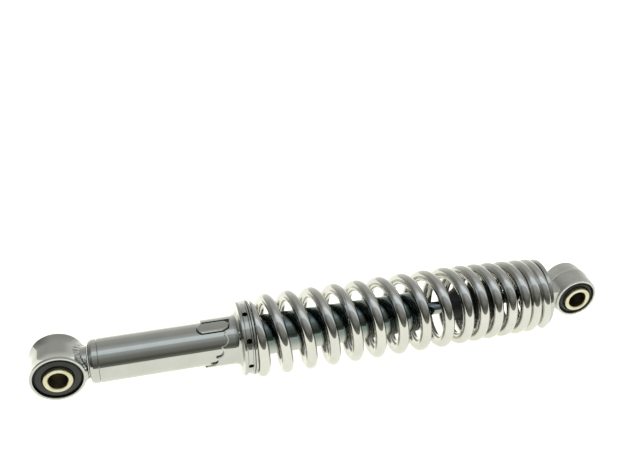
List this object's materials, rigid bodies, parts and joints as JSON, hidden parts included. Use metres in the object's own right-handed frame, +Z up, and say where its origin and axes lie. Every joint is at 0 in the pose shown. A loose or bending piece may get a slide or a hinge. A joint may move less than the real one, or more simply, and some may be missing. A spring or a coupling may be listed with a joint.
{
  "type": "rear shock absorber",
  "caption": "Twin-type motorcycle rear shock absorber: chrome damper body, dual-rate coil spring, stepped preload collar and rubber-bushed eyes for a 12 mm bolt.",
  "frame": {"origin": "centre of the lower eye's bolt hole", "axes": "+X along the shock from the lower eye to the upper eye, +Y along both bolt holes, +Z up with the shock lying on its side"},
  "size_m": [0.3715, 0.0523, 0.0522],
  "materials": {
    "chrome": "polished",
    "spring_chrome": "polished",
    "cast_aluminium": "satin cast",
    "zinc_yellow": "yellow zinc plated",
    "black_rubber": "matte moulded",
    "steel": "machined",
    "ground_rod": "ground and polished",
    "bronze": "machined",
    "black_plastic": "matte"
  },
  "bodies": {
    "damper_body": {"lower_eye_ring": "chrome", "bottom_end_cap": "chrome", "reservoir_tube": "chrome", "working_cylinder": "steel", "base_valve": "steel", "rod_guide": "cast_aluminium", "guide_bushing": "bronze", "oil_seal": "black_rubber", "seal_cover": "steel", "lower_bush_rubber": "black_rubber", "coil_spring": "spring_chrome"},
    "lower_sleeve": {"lower_bush_sleeve": "zinc_yellow"},
    "spring_seat": {"spring_seat_ring": "chrome"},
    "preload_collar": {"preload_cam_collar": "chrome"},
    "spring_cap": {"upper_spring_cap": "chrome"},
    "rod_and_eye": {"upper_eye_casting": "cast_aluminium", "piston_rod": "ground_rod", "rod_lock_nut": "steel", "bump_washer": "steel", "piston": "steel", "piston_ring": "bronze", "piston_nut": "steel", "valve_shim": "steel", "rebound_stop": "black_plastic", "upper_bush_rubber": "black_rubber"},
    "bump_rubber": {"bump_stop": "black_rubber"},
    "upper_sleeve": {"upper_bush_sleeve": "zinc_yellow"}
  },
  "joints": [
    {"name": "compression", "type": "slide", "parent": "damper_body", "child": "spring_cap", "axis": [-1, 0, 0], "range_m": [0, 0.05], "stiffness_N_per_m": 16000, "springref_m": -0.01, "deforming": ["coil_spring", "bump_stop"]},
    {"name": "rod_swivel", "type": "hinge", "parent": "spring_cap", "child": "rod_and_eye", "pos_m": [0.3188, 0, 0], "axis": [1, 0, 0], "continuous": true},
    {"name": "bump_slide", "type": "slide", "parent": "rod_and_eye", "child": "bump_rubber", "axis": [1, 0, 0], "range_m": [0, 0.0281]},
    {"name": "preload_turn", "type": "hinge", "parent": "spring_seat", "child": "preload_collar", "pos_m": [0.1183, 0, 0], "axis": [-1, 0, 0], "range_deg": [0, 123.6]},
    {"name": "preload_lift", "type": "slide", "parent": "damper_body", "child": "spring_seat", "axis": [1, 0, 0], "range_m": [0, 0.013], "deforming": ["coil_spring"]},
    {"name": "lower_bush_twist", "type": "hinge", "parent": "damper_body", "child": "lower_sleeve", "pos_m": [0, 0, 0], "axis": [0, 1, 0], "range_deg": [-20, 20], "stiffness_Nm_per_rad": 6},
    {"name": "upper_bush_twist", "type": "hinge", "parent": "rod_and_eye", "child": "upper_sleeve", "pos_m": [0.34, 0, 0], "axis": [0, 1, 0], "range_deg": [-20, 20], "stiffness_Nm_per_rad": 6}
  ],
  "couplings": [
    {"joint": "preload_turn", "follows": "preload_lift", "rad_per_m": 165.81},
    {"joint": "bump_slide", "follows": "compression", "ratio": 0.56}
  ]
}
